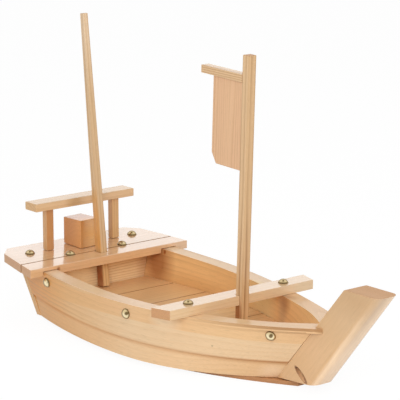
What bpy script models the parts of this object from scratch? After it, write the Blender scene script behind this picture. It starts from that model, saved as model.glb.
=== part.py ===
"""Wooden sushi boat with lift-out masts. Metres, +X to the bow, +Y to port, +Z up."""
import math

import bmesh
import bpy
from mathutils import Matrix, Vector

for old in list(bpy.data.objects):
    bpy.data.objects.remove(old, do_unlink=True)

# Overall sizes. A station is a distance forward of the deck's aft edge, a share is part of the length.
OVERALL_LENGTH = 0.519
OVERALL_HEIGHT = 0.3326
CLEARANCE = 0.0003

# Heights of the hull's layers, from the ground up
BASE_THICKNESS = 0.0046
STRAKE_HEIGHT = 0.0197
UPPER_PLANK_WIDTH = 0.0367
FLOOR_THICKNESS = 0.0068
LEDGE_DROP = 0.0006

# Sheer: how far the rim and the lap line rise from their lowest station
SHEER_LOW_SHARE = 0.5087
SHEER_STERN = 0.0076
SHEER_BOW = 0.0112
LAP_RISE_STERN = 0.0056

# Plan of the rim and of the hull's foot, as half-widths
RIM_BEAM_SHARE = 0.3256
RIM_BEAM_HALF = 0.0946
RIM_STERN_HALF = 0.0838
RIM_BOW_HALF = 0.0215
RIM_FULLNESS = 1.85
FOOT_BEAM_SHARE = 0.3834
FOOT_BEAM_HALF = 0.0918
FOOT_STERN_HALF = 0.0714
FOOT_FULLNESS_AFT = 1.9
FOOT_FULLNESS_BOW = 2.4
HULL_STEPS = 32
HULL_ROWS = 4
BOW_CROWDING = 0.35

# Side planks and strakes
UPPER_PLANK_THICKNESS = 0.0172
STRAKE_INSET = 0.0020
LEDGE_WIDTH = 0.0070
LIP_HEIGHT = 0.0050
LIP_PROUD = 0.0005
LIP_START = 0.83
LIP_REACH = 0.0105
LIP_TIP = 0.0008

# Base plate
BASE_STERN_STATION = 0.050
BASE_STEM_REACH = 0.0230
BASE_BOW_HALF = 0.0074
BASE_INSET = 0.015
BASE_FULLNESS = 1.85

# Stem
STEM_TOP = 0.1147
STEM_THICKNESS = 0.0292
STEM_HEAD_DEPTH = 0.0455
STEM_FOOT_DEPTH = 0.0528
STEM_FOOT_RISE = 0.0036
STEM_RAKE = math.radians(40.6)
STEM_NOSE_RADIUS = 0.009
STEM_NOSE_STEPS = 6

# Screws in pocket holes through the stem's sides
SCREW_AHEAD = 0.0250
SCREW_HEIGHT = 0.0163
SCREW_RISE = math.radians(37.6)
SCREW_INWARD = math.radians(16.6)
SCREW_HEAD_DIAMETER = 0.0050
SCREW_HEAD_LENGTH = 0.0024
SCREW_DIAMETER = 0.0025
SCREW_LENGTH = 0.0115
POCKET_DEPTH = 0.011
POCKET_REACH = 0.024

# Transom and bulkhead
TRANSOM_FOOT_STATION = 0.0408
TRANSOM_THICKNESS = 0.0064
TRANSOM_RAKE = math.radians(14.1)
TRANSOM_PROUD = 0.0004
BULKHEAD_THICKNESS = 0.010

# Floor boards
FLOOR_WIDTH_RATIOS = (0.87, 1, 1, 1, 1, 1.25)
FLOOR_SEAM = 0.0008
FLOOR_EDGE_GAP = 0.0004
FLOOR_STEPS = 6
FLOOR_TIP_HALF = 0.006

# Deck
DECK_FRONT_STATION = 0.0849
DECK_THICKNESS = 0.0094
DECK_SLOPE = math.radians(2.3)
DECK_HOUSING = 0.0047
DECK_OVERHANG_FRONT = 0.0171
DECK_OVERHANG_AFT = 0.0130
DECK_JOINT = 0.0012
HOUSING_FIT = 0.0005
HOUSING_PLAY = 0.0018
DECK_CORNER_LENGTH = 0.0148
DECK_CORNER_WIDTH = 0.0135

# Crossbeam
BEAM_SHARE = 0.5761
BEAM_DEPTH = 0.0222
BEAM_THICKNESS = 0.0099
BEAM_OVERHANG = 0.0235

# Front mast, yard and sail board
FRONT_MAST_TOP = 0.3192
FRONT_MAST_RAKE = math.radians(2.15)
FRONT_MAST_DEPTH = 0.0092
FRONT_MAST_WIDTH = 0.0101
FRONT_MAST_PROUD = 0.0028
MAST_PLAY = 0.0004
YARD_LENGTH = 0.064
YARD_HEIGHT = 0.0082
YARD_WIDTH = 0.0100
YARD_DROP = 0.0199
SAIL_WIDTH = 0.0465
SAIL_HEIGHT = 0.090
SAIL_THICKNESS = 0.0060
SAIL_CHAMFER_WIDTH = 0.0070
SAIL_CHAMFER_HEIGHT = 0.0110

# Rear mast
REAR_MAST_STATION = 0.0668
REAR_MAST_RAKE = math.radians(-6.0)
REAR_MAST_FOOT = 0.0099
REAR_MAST_HEAD = 0.0062

# Stern rail and cabin block
POST_STATION = 0.0292
POST_END_SETBACK = 0.0221
POST_DEPTH = 0.0079
POST_WIDTH = 0.0094
POST_HEIGHT = 0.0464
RAIL_SETBACK = 0.00115
RAIL_LENGTH = 0.134
RAIL_DEPTH = 0.0213
RAIL_THICKNESS = 0.0090
CABIN_STATION = 0.0312
CABIN_OFFSET = -0.0019
CABIN_LENGTH = 0.030
CABIN_WIDTH = 0.0255
CABIN_HEIGHT = 0.0313
CABIN_TURN = math.radians(4.4)

# Brass tacks
TACK_DIAMETER = 0.0108
TACK_DOME = 0.0034
TACK_RIM = 0.0006
TACK_SHANK = 0.0022
TACK_LENGTH = 0.013
TACK_SEAT = 0.0002
TACK_SEGMENTS = 14
TACK_DOME_STEPS = 4
DECK_TACK_INSET = 0.0132
BULKHEAD_TACK_OFFSET = 0.0356
BEAM_TACK_INSET = 0.0117
SIDE_TACK_DROP = 0.0106
SIDE_TACK_STERN_AHEAD = 0.0036
SIDE_TACK_MID_SHARE = 0.4432
SIDE_TACK_BOW_SETBACK = 0.0410

# Finishes: colour, roughness, metallic
PINE_SIDE = ((0.66, 0.45, 0.25), 0.55, 0.0)
PINE_TOP = ((0.78, 0.62, 0.45), 0.55, 0.0)
PINE_WARM = ((0.60, 0.36, 0.17), 0.60, 0.0)
BRASS = ((0.62, 0.50, 0.24), 0.25, 1.0)
STEEL = ((0.45, 0.45, 0.46), 0.35, 1.0)

SIDES = {"starboard": -1, "port": 1}
STEPS = [i / HULL_STEPS for i in range(HULL_STEPS + 1)]
STATIONS = [t + BOW_CROWDING * t * (1 - t) for t in STEPS]

# Levels and places that follow from the sizes
HULL_FOOT = BASE_THICKNESS + CLEARANCE
LAP_LEVEL = HULL_FOOT + STRAKE_HEIGHT
LEDGE_LEVEL = LAP_LEVEL - LEDGE_DROP
FLOOR_LEVEL = LEDGE_LEVEL + CLEARANCE
FLOOR_TOP = FLOOR_LEVEL + FLOOR_THICKNESS
RIM_LEVEL = LAP_LEVEL + CLEARANCE + UPPER_PLANK_WIDTH
STEM_FOOT = HULL_FOOT + CLEARANCE
STEM_HALF = STEM_THICKNESS / 2
STEM_HEAD_STATION = OVERALL_LENGTH - STEM_HEAD_DEPTH
HALF_CLEARANCE = CLEARANCE / 2


def x_at(station):
    """X of a station: the origin is half-way along the boat."""
    return station - OVERALL_LENGTH / 2


def mix(a, b, share):
    return a + (b - a) * share


# Hull surface

def rise(x, stern_rise, bow_rise):
    """Parabolic rise from the lowest station to the ends of the boat."""
    low = x_at(SHEER_LOW_SHARE * OVERALL_LENGTH)
    if x < low:
        return stern_rise * ((low - x) / (low - x_at(0))) ** 2
    return bow_rise * ((x - low) / (x_at(STEM_HEAD_STATION) - low)) ** 2


def rim_height(x):
    return RIM_LEVEL + rise(x, SHEER_STERN, SHEER_BOW)


def lap_height(x):
    return LAP_LEVEL + rise(x, LAP_RISE_STERN, 0)


def transom_aft_x(z):
    return x_at(TRANSOM_FOOT_STATION) - math.tan(TRANSOM_RAKE) * (z - HULL_FOOT)


def transom_front_x(z):
    return transom_aft_x(z) + TRANSOM_THICKNESS / math.cos(TRANSOM_RAKE)


def stem_back_x(z):
    return x_at(STEM_HEAD_STATION) - math.tan(STEM_RAKE) * (STEM_TOP - z)


def end_at_rim(end_x):
    """X where a raked end plane meets the curved rim."""
    x = end_x(RIM_LEVEL)
    for _ in range(6):
        x = end_x(rim_height(x))
    return x


RIM_BEAM_X = x_at(RIM_BEAM_SHARE * OVERALL_LENGTH)
FOOT_BEAM_X = x_at(FOOT_BEAM_SHARE * OVERALL_LENGTH)
BEAM_X = x_at(BEAM_SHARE * OVERALL_LENGTH)
FOOT_AFT = transom_front_x(HULL_FOOT) + CLEARANCE
FOOT_FORE = stem_back_x(HULL_FOOT) - CLEARANCE
RIM_AFT = end_at_rim(transom_front_x) + CLEARANCE
RIM_FORE = end_at_rim(stem_back_x) - CLEARANCE


def plan_half(x, beam_x, beam_half, aft, fore):
    """Half-width of a plan curve; aft and fore are (x, half-width, fullness) of its ends."""
    end_x, end_half, fullness = aft if x < beam_x else fore
    share = abs((x - beam_x) / (end_x - beam_x))
    return beam_half - (beam_half - end_half) * share ** fullness


def rim_half(x):
    aft = (RIM_AFT, RIM_STERN_HALF, RIM_FULLNESS)
    fore = (RIM_FORE, RIM_BOW_HALF, RIM_FULLNESS)
    return plan_half(x, RIM_BEAM_X, RIM_BEAM_HALF, aft, fore)


def foot_half(x):
    aft = (FOOT_AFT, FOOT_STERN_HALF, FOOT_FULLNESS_AFT)
    fore = (FOOT_FORE, STEM_HALF + STRAKE_INSET, FOOT_FULLNESS_BOW)
    return plan_half(x, FOOT_BEAM_X, FOOT_BEAM_HALF, aft, fore)


def lip_proud(u):
    """How far the rim's lip stands out of the plank's face; it grows at the bow."""
    grow = max(0.0, (u - LIP_START) / (1 - LIP_START)) ** 2
    return mix(LIP_PROUD, RIM_BOW_HALF - STEM_HALF, grow)


def rim_x(u):
    return mix(RIM_AFT, RIM_FORE, u)


def hull_point(u, z):
    """X and half-width of the hull's face at u, from 0 astern to 1 at the stem, and height z."""
    top = rim_x(u)
    foot = mix(FOOT_AFT, FOOT_FORE, u)
    v = (z - HULL_FOOT) / (rim_height(top) - HULL_FOOT)
    half = mix(foot_half(foot), rim_half(top) - lip_proud(u), v)
    return mix(foot, top, v), half


def hull_slope(u, z):
    """Slope of the half-width along X at one height."""
    step = 0.5 / HULL_STEPS
    low = max(0.0, u - step)
    high = min(1.0, u + step)
    x0, half0 = hull_point(low, z)
    x1, half1 = hull_point(high, z)
    return (half1 - half0) / (x1 - x0)


def inner_half(u, z, depth=UPPER_PLANK_THICKNESS):
    """Half-width at a square depth inside the hull's face, kept off the centre line."""
    half = hull_point(u, z)[1]
    return max(HALF_CLEARANCE, half - depth * math.hypot(1, hull_slope(u, z)))


def u_at(x, z):
    """The u of a point on the hull at X and height z."""
    low, high = -0.2, 1.2
    for _ in range(50):
        middle = (low + high) / 2
        if hull_point(middle, z)[0] < x:
            low = middle
        else:
            high = middle
    return (low + high) / 2


def inside_half(x, z):
    """Half-width between the side planks' inner faces, which are flat from station to station."""
    points = [(hull_point(u, z)[0], inner_half(u, z)) for u in STATIONS]
    for (x0, half0), (x1, half1) in zip(points, points[1:]):
        if x < x1:
            break
    return mix(half0, half1, (x - x0) / (x1 - x0))


# Mesh and object helpers

def add_object(name, mesh, finish):
    mesh.shade_smooth()
    mesh.set_sharp_from_angle(angle=math.radians(30))
    item = bpy.data.objects.new(name, mesh)
    bpy.context.collection.objects.link(item)
    if finish:
        colour, roughness, metallic = finish
        material = bpy.data.materials.new(name + "_finish")
        material.use_nodes = True
        shader = material.node_tree.nodes["Principled BSDF"]
        shader.inputs["Base Color"].default_value = (*colour, 1.0)
        shader.inputs["Roughness"].default_value = roughness
        shader.inputs["Metallic"].default_value = metallic
        mesh.materials.append(material)
    else:
        item.hide_render = True
        item.display_type = "WIRE"
    return item


def mesh_from(name, bm):
    bmesh.ops.recalc_face_normals(bm, faces=bm.faces)
    mesh = bpy.data.meshes.new(name)
    bm.to_mesh(mesh)
    bm.free()
    return mesh


def loft(name, sections, finish=None):
    """Solid through a row of sections with equal point counts; no finish makes a cutter."""
    bm = bmesh.new()
    rings = [[bm.verts.new(point) for point in section] for section in sections]
    count = len(rings[0])
    for near, far in zip(rings, rings[1:]):
        for i in range(count):
            j = (i + 1) % count
            bm.faces.new((near[i], near[j], far[j], far[i]))
    bm.faces.new(rings[0])
    bm.faces.new(rings[-1])
    bm.normal_update()
    bmesh.ops.triangulate(bm, faces=bm.faces)
    return add_object(name, mesh_from(name, bm), finish)


def prism(name, outline, height_pairs, finish=None):
    """Upright solid over a plan outline, with a (low, high) pair for each point."""
    low = [(x, y, pair[0]) for (x, y), pair in zip(outline, height_pairs)]
    high = [(x, y, pair[1]) for (x, y), pair in zip(outline, height_pairs)]
    return loft(name, [low, high], finish)


def turned_mesh(name, profile, segments):
    """Mesh turned about Z from (radius, z) pairs that start and end on the axis."""
    bm = bmesh.new()
    first = bm.verts.new((0, 0, profile[0][1]))
    last = bm.verts.new((0, 0, profile[-1][1]))
    rings = []
    for radius, z in profile[1:-1]:
        ring = []
        for i in range(segments):
            angle = math.tau * i / segments
            ring.append(bm.verts.new((radius * math.cos(angle), radius * math.sin(angle), z)))
        rings.append(ring)
    for i in range(segments):
        j = (i + 1) % segments
        bm.faces.new((first, rings[0][i], rings[0][j]))
        for near, far in zip(rings, rings[1:]):
            bm.faces.new((near[i], far[i], far[j], near[j]))
        bm.faces.new((last, rings[-1][j], rings[-1][i]))
    return mesh_from(name, bm)


def cut(target, cutter, operation="DIFFERENCE"):
    modifier = target.modifiers.new(cutter.name, "BOOLEAN")
    modifier.operation = operation
    modifier.solver = "EXACT"
    modifier.object = cutter


def aim(item, point, direction):
    """Place an object at a point with its Z axis along a direction."""
    turn = Vector(direction).to_track_quat("Z", "Y").to_matrix().to_4x4()
    item.matrix_world = Matrix.Translation(point) @ turn


def mirrored(half_outline):
    """Closed outline from (x, half-width) pairs: starboard side forward, port side back."""
    starboard = [(x, -half) for x, half in half_outline]
    port = [(x, half) for x, half in reversed(half_outline)]
    return starboard + port


# Base plate

BASE_AFT = x_at(BASE_STERN_STATION)
BASE_FORE = stem_back_x(HULL_FOOT) + BASE_STEM_REACH


def base_half(x):
    """Plan of the base plate: set in from the hull's foot, pointed under the stem."""
    beam_half = FOOT_BEAM_HALF - BASE_INSET
    aft = (BASE_AFT, FOOT_STERN_HALF - BASE_INSET, FOOT_FULLNESS_AFT)
    fore = (BASE_FORE, BASE_BOW_HALF, BASE_FULLNESS)
    return plan_half(x, FOOT_BEAM_X, beam_half, aft, fore)


def make_base_plate():
    outline = []
    for i in range(HULL_STEPS + 1):
        x = mix(BASE_AFT, BASE_FORE, i / HULL_STEPS)
        outline.append((x, base_half(x)))
    outline = mirrored(outline)
    prism("base_plate", outline, [(0.0, BASE_THICKNESS)] * len(outline), PINE_WARM)


# Strakes and side planks

def strake_section(u, side):
    lap = lap_height(rim_x(u))
    points = []
    for z, inset in ((HULL_FOOT, STRAKE_INSET), (lap, STRAKE_INSET)):
        x, half = hull_point(u, z)
        points.append((x, half - inset, z))
    inside = UPPER_PLANK_THICKNESS
    ledge = UPPER_PLANK_THICKNESS + LEDGE_WIDTH
    for z, depth in ((lap, inside), (LEDGE_LEVEL, inside), (LEDGE_LEVEL, ledge), (HULL_FOOT, ledge)):
        points.append((hull_point(u, z)[0], inner_half(u, z, depth), z))
    return [(x, side * y, z) for x, y, z in points]


def plank_section(u, side):
    top = rim_height(rim_x(u))
    lip = top - LIP_HEIGHT
    bottom = lap_height(rim_x(u)) + CLEARANCE
    proud = lip_proud(u)
    rows = [mix(bottom, lip, i / HULL_ROWS) for i in range(HULL_ROWS + 1)]
    points = []
    for z, out in [(z, 0) for z in rows] + [(lip, proud), (top, proud)]:
        x, half = hull_point(u, z)
        points.append((x, half + out, z))
    for z in [top] + rows[::-1]:
        points.append((hull_point(u, z)[0], inner_half(u, z), z))
    return [(x, side * y, z) for x, y, z in points]


def housing_section(u, side):
    """Section of the room that a side plank's top edge takes up in the deck."""
    top = rim_height(rim_x(u))
    bottom = top - DECK_HOUSING - DECK_THICKNESS
    points = []
    for z, level in ((bottom, bottom), (top, top + HOUSING_FIT)):
        x, half = hull_point(u, z)
        points.append((x, half + lip_proud(u) + HOUSING_FIT, level))
    for z, level in ((top, top + HOUSING_FIT), (bottom, bottom)):
        points.append((hull_point(u, z)[0], inner_half(u, z) - HOUSING_PLAY, level))
    return [(x, side * y, z) for x, y, z in points]


def make_lip_tip(side_name, side):
    """The end of the rim's lip, which runs on along the side of the stem."""
    root_x = RIM_FORE - 4 * LIP_TIP
    tip_x = RIM_FORE + LIP_REACH
    inner = STEM_HALF + CLEARANCE
    fit = CLEARANCE / 3
    outline = [
        (root_x, inner),
        (root_x, rim_half(root_x) - fit),
        (RIM_FORE, RIM_BOW_HALF - fit),
        (tip_x, inner + LIP_TIP),
        (tip_x, inner),
    ]
    heights = []
    for x, _ in outline:
        top = rim_height(x) - fit
        heights.append((top - LIP_HEIGHT + 2 * fit, top))
    return prism("lip_tip_" + side_name, [(x, side * y) for x, y in outline], heights)


def make_sides():
    deck_end = u_at(x_at(DECK_FRONT_STATION) + DECK_THICKNESS, RIM_LEVEL)
    planks = {}
    strakes = {}
    housings = {}
    for name, side in SIDES.items():
        strakes[name] = loft("lower_strake_" + name, [strake_section(u, side) for u in STATIONS], PINE_SIDE)
        planks[name] = loft("upper_plank_" + name, [plank_section(u, side) for u in STATIONS], PINE_SIDE)
        cut(planks[name], make_lip_tip(name, side), "UNION")
        under_deck = [u for u in STATIONS if u < deck_end] + [deck_end]
        under_deck[0] = -CLEARANCE / (RIM_FORE - RIM_AFT)
        housings[name] = loft("housing_" + name, [housing_section(u, side) for u in under_deck])
    return planks, strakes, housings


# Stem and its screws

def make_stem():
    def outline(back_x, depth):
        front = back_x + depth
        points = [(back_x, -STEM_HALF)]
        for side, first in ((-1, -90), (1, 0)):
            for i in range(STEM_NOSE_STEPS + 1):
                angle = math.radians(first + 90 * i / STEM_NOSE_STEPS)
                x = front - STEM_NOSE_RADIUS * (1 - math.cos(angle))
                y = side * (STEM_HALF - STEM_NOSE_RADIUS) + STEM_NOSE_RADIUS * math.sin(angle)
                points.append((x, y))
        points.append((back_x, STEM_HALF))
        return points

    foot = []
    for x, y in outline(stem_back_x(STEM_FOOT), STEM_FOOT_DEPTH):
        share = (x - stem_back_x(STEM_FOOT)) / STEM_FOOT_DEPTH
        foot.append((x, y, STEM_FOOT + STEM_FOOT_RISE * share))
    head = [(x, y, STEM_TOP) for x, y in outline(stem_back_x(STEM_TOP), STEM_HEAD_DEPTH)]
    return loft("stem", [foot, head], PINE_SIDE)


def add_stem_screws(stem, planks):
    """A screw in a slanted pocket on each side of the stem, up and aft into the side plank."""
    head = SCREW_HEAD_DIAMETER / 2
    shank = SCREW_DIAMETER / 2
    end = SCREW_HEAD_LENGTH + SCREW_LENGTH
    screw = [(0, 0), (head, 0), (head, SCREW_HEAD_LENGTH), (shank, SCREW_HEAD_LENGTH),
             (shank, end - SCREW_DIAMETER), (0, end)]
    wide = head + CLEARANCE
    narrow = shank + CLEARANCE
    shoulder = SCREW_HEAD_LENGTH + CLEARANCE
    hole = [(0, -POCKET_REACH), (wide, -POCKET_REACH), (wide, shoulder), (narrow, shoulder),
            (narrow, end + CLEARANCE), (0, end + CLEARANCE)]
    for name, side in SIDES.items():
        level = math.cos(SCREW_INWARD)
        direction = Vector((
            -level * math.cos(SCREW_RISE),
            -side * math.sin(SCREW_INWARD),
            level * math.sin(SCREW_RISE),
        ))
        mouth = Vector((stem_back_x(SCREW_HEIGHT) + SCREW_AHEAD, side * STEM_HALF, SCREW_HEIGHT))
        seat = mouth + direction * POCKET_DEPTH
        mesh = turned_mesh("stem_screw", screw, TACK_SEGMENTS)
        aim(add_object("stem_screw_" + name, mesh, STEEL), seat, direction)
        pocket = add_object("pocket_" + name, turned_mesh("pocket", hole, TACK_SEGMENTS), None)
        aim(pocket, seat, direction)
        cut(stem, pocket)
        cut(planks[name], pocket)


# Deck and what stands on it

DECK_FRONT_X = x_at(DECK_FRONT_STATION)
DECK_AFT_X = x_at(0)
DECK_CORNER_X = DECK_AFT_X + DECK_CORNER_LENGTH


def deck_under(x):
    return rim_height(DECK_FRONT_X) - DECK_HOUSING + math.tan(DECK_SLOPE) * (DECK_FRONT_X - x)


def deck_top(x):
    return deck_under(x) + DECK_THICKNESS / math.cos(DECK_SLOPE)


def deck_half(x):
    share = (x - DECK_CORNER_X) / (DECK_FRONT_X - DECK_CORNER_X)
    return rim_half(x) + mix(DECK_OVERHANG_AFT, DECK_OVERHANG_FRONT, share)


REAR_MAST_X = x_at(REAR_MAST_STATION)
REAR_MAST_LEVEL = deck_top(REAR_MAST_X)
REAR_MAST_REACH = REAR_MAST_FOOT / 2 / math.cos(REAR_MAST_RAKE)
DECK_JOINT_X = REAR_MAST_X - REAR_MAST_REACH - MAST_PLAY


def rear_mast_x(z):
    return REAR_MAST_X + math.tan(REAR_MAST_RAKE) * (z - REAR_MAST_LEVEL)


BULKHEAD_FRONT_X = rear_mast_x(deck_under(DECK_JOINT_X)) - REAR_MAST_REACH - MAST_PLAY
BULKHEAD_AFT_X = BULKHEAD_FRONT_X - BULKHEAD_THICKNESS


def make_deck_plank(name, half_outline, housings):
    outline = mirrored(half_outline)
    heights = [(deck_under(x), deck_top(x)) for x, _ in outline]
    plank = prism(name, outline, heights, PINE_TOP)
    for housing in housings.values():
        cut(plank, housing)
    return plank


def make_deck(housings):
    """Two planks, joined at the rear mast; the aft one has clipped corners."""
    edges = [(x, deck_half(x)) for x in (DECK_CORNER_X, DECK_JOINT_X - DECK_JOINT)]
    edges.insert(0, (DECK_AFT_X, edges[0][1] - DECK_CORNER_WIDTH))
    aft = make_deck_plank("deck_aft_plank", edges, housings)
    edges = [(x, deck_half(x)) for x in (DECK_JOINT_X, DECK_FRONT_X)]
    return aft, make_deck_plank("deck_front_plank", edges, housings)


def make_transom():
    top = deck_under(transom_front_x(RIM_LEVEL)) - CLEARANCE
    levels = ((HULL_FOOT, foot_half(FOOT_AFT) - STRAKE_INSET), (top, hull_point(0, top)[1]))
    sections = []
    for plane in (transom_aft_x, transom_front_x):
        low, high = [(plane(z), half + TRANSOM_PROUD, z) for z, half in levels]
        sections.append([(x, side * half, z) for side, (x, half, z) in
                         ((-1, low), (1, low), (1, high), (-1, high))])
    return loft("transom_board", sections, PINE_SIDE)


def make_bulkhead():
    top = deck_under(BULKHEAD_FRONT_X) - CLEARANCE
    sections = []
    for x in (BULKHEAD_AFT_X, BULKHEAD_FRONT_X):
        low, high = [inside_half(x, z) - FLOOR_EDGE_GAP for z in (FLOOR_LEVEL, top)]
        sections.append([(x, -low, FLOOR_LEVEL), (x, low, FLOOR_LEVEL), (x, high, top), (x, -high, top)])
    return loft("aft_bulkhead", sections, PINE_WARM)


def standing_block(name, centre, size, turn, height, finish):
    """Upright block on the sloping deck, its foot cut to the slope."""
    corners = []
    for x, y in ((-1, -1), (1, -1), (1, 1), (-1, 1)):
        local = Vector((x * size[0] / 2, y * size[1] / 2))
        local.rotate(Matrix.Rotation(turn, 2))
        corners.append((centre[0] + local.x, centre[1] + local.y))
    heights = [(deck_top(x) + CLEARANCE, height) for x, _ in corners]
    return prism(name, corners, heights, finish)


def make_stern_rail():
    post_x = x_at(POST_STATION)
    top = deck_top(post_x) + CLEARANCE + POST_HEIGHT
    for name, side in SIDES.items():
        centre = (post_x, side * (RAIL_LENGTH / 2 - POST_END_SETBACK))
        standing_block("rail_post_" + name, centre, (POST_DEPTH, POST_WIDTH), 0, top, PINE_WARM)
    low = top + CLEARANCE
    rail_x = post_x - RAIL_SETBACK
    outline = mirrored([(rail_x - RAIL_DEPTH / 2, RAIL_LENGTH / 2), (rail_x + RAIL_DEPTH / 2, RAIL_LENGTH / 2)])
    prism("stern_rail", outline, [(low, low + RAIL_THICKNESS)] * len(outline), PINE_TOP)


def make_cabin():
    centre = (x_at(CABIN_STATION), CABIN_OFFSET)
    top = deck_top(centre[0]) + CABIN_HEIGHT
    standing_block("cabin_block", centre, (CABIN_LENGTH, CABIN_WIDTH), CABIN_TURN, top, PINE_WARM)


# Floor

def floor_end():
    """X where the floor's tip is as narrow as its last board can be."""
    x = BEAM_X
    while inside_half(x, FLOOR_LEVEL) - FLOOR_EDGE_GAP > FLOOR_TIP_HALF:
        x += FLOOR_EDGE_GAP
    return x


def make_floor():
    start = BULKHEAD_FRONT_X + CLEARANCE - FLOOR_SEAM / 2
    board = (floor_end() - start) / sum(FLOOR_WIDTH_RATIOS)
    aft = start
    for number, ratio in enumerate(FLOOR_WIDTH_RATIOS, 1):
        fore = aft + ratio * board
        xs = [mix(aft + FLOOR_SEAM / 2, fore - FLOOR_SEAM / 2, i / FLOOR_STEPS) for i in range(FLOOR_STEPS + 1)]
        layers = []
        for z in (FLOOR_LEVEL, FLOOR_TOP):
            outline = mirrored([(x, inside_half(x, z) - FLOOR_EDGE_GAP) for x in xs])
            layers.append([(x, y, z) for x, y in outline])
        loft(f"floor_board_{number}", layers, PINE_WARM)
        aft = fore


# Crossbeam and masts

BEAM_AFT_X = BEAM_X - BEAM_DEPTH / 2
BEAM_FRONT_X = BEAM_X + BEAM_DEPTH / 2
BEAM_UNDER = max(rim_height(BEAM_AFT_X), rim_height(BEAM_FRONT_X)) + CLEARANCE
BEAM_TOP = BEAM_UNDER + BEAM_THICKNESS


def make_crossbeam():
    outline = mirrored([(x, rim_half(x) + BEAM_OVERHANG) for x in (BEAM_AFT_X, BEAM_FRONT_X)])
    return prism("crossbeam", outline, [(BEAM_UNDER, BEAM_TOP)] * len(outline), PINE_TOP)


def box_at(name, low, high, finish=None):
    """Box between two corners in its own frame."""
    outline = [(low[0], low[1]), (high[0], low[1]), (high[0], high[1]), (low[0], high[1])]
    return prism(name, outline, [(low[2], high[2])] * 4, finish)


def mast_frame(x, level, rake, depth):
    """Frame of a raked mast: its origin is the centre of its foot, just clear of the floor."""
    foot = FLOOR_TOP + CLEARANCE + depth / 2 * abs(math.sin(rake))
    foot_x = x + math.tan(rake) * (foot - level)
    return Matrix.Translation((foot_x, 0, foot)) @ Matrix.Rotation(rake, 4, "Y")


def mast_length(frame, top, rake):
    return (top - frame.translation.z) / math.cos(rake)


def make_front_mast(crossbeam):
    centre_x = BEAM_FRONT_X + FRONT_MAST_PROUD - FRONT_MAST_DEPTH / 2 / math.cos(FRONT_MAST_RAKE)
    frame = mast_frame(centre_x, BEAM_TOP, FRONT_MAST_RAKE, FRONT_MAST_DEPTH)
    length = mast_length(frame, FRONT_MAST_TOP, FRONT_MAST_RAKE)
    depth = FRONT_MAST_DEPTH / 2
    width = FRONT_MAST_WIDTH / 2
    mast = box_at("front_mast", (-depth, -width, 0), (depth, width, length), PINE_SIDE)
    mast.matrix_world = frame

    back = -depth - CLEARANCE
    yard_top = length - YARD_DROP
    yard_low = yard_top - YARD_HEIGHT
    half = YARD_WIDTH / 2
    yard = box_at("sail_yard", (back - YARD_LENGTH, -half, yard_low), (back, half, yard_top), PINE_SIDE)
    sail_top = yard_low - CLEARANCE
    sail_low = sail_top - SAIL_HEIGHT
    sail_aft = back - SAIL_WIDTH
    profile = [
        (back, sail_top),
        (sail_aft, sail_top),
        (sail_aft, sail_low + SAIL_CHAMFER_HEIGHT),
        (sail_aft + SAIL_CHAMFER_WIDTH, sail_low),
        (back, sail_low),
    ]
    faces = [[(x, y, z) for x, z in profile] for y in (-SAIL_THICKNESS / 2, SAIL_THICKNESS / 2)]
    sail = loft("sail_board", faces, PINE_SIDE)
    for piece in (yard, sail):
        piece.parent = mast

    notch_low = (-depth - MAST_PLAY, -width - MAST_PLAY, 0)
    notch_high = (depth + BEAM_DEPTH, width + MAST_PLAY, length)
    notch = box_at("front_mast_notch", notch_low, notch_high)
    notch.matrix_world = frame
    cut(crossbeam, notch)


def make_rear_mast(deck_plank):
    frame = mast_frame(REAR_MAST_X, REAR_MAST_LEVEL, REAR_MAST_RAKE, REAR_MAST_FOOT)
    length = mast_length(frame, OVERALL_HEIGHT, REAR_MAST_RAKE)
    sections = []
    for side, z in ((REAR_MAST_FOOT, 0), (REAR_MAST_HEAD, length)):
        half = side / 2
        sections.append([(x * half, y * half, z) for x, y in ((-1, -1), (1, -1), (1, 1), (-1, 1))])
    mast = loft("rear_mast", sections, PINE_SIDE)
    mast.matrix_world = frame

    reach = REAR_MAST_FOOT / 2 + MAST_PLAY
    notch = box_at("rear_mast_notch", (-reach - DECK_THICKNESS, -reach, 0), (reach, reach, length))
    notch.matrix_world = frame
    cut(deck_plank, notch)


# Tacks

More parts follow.
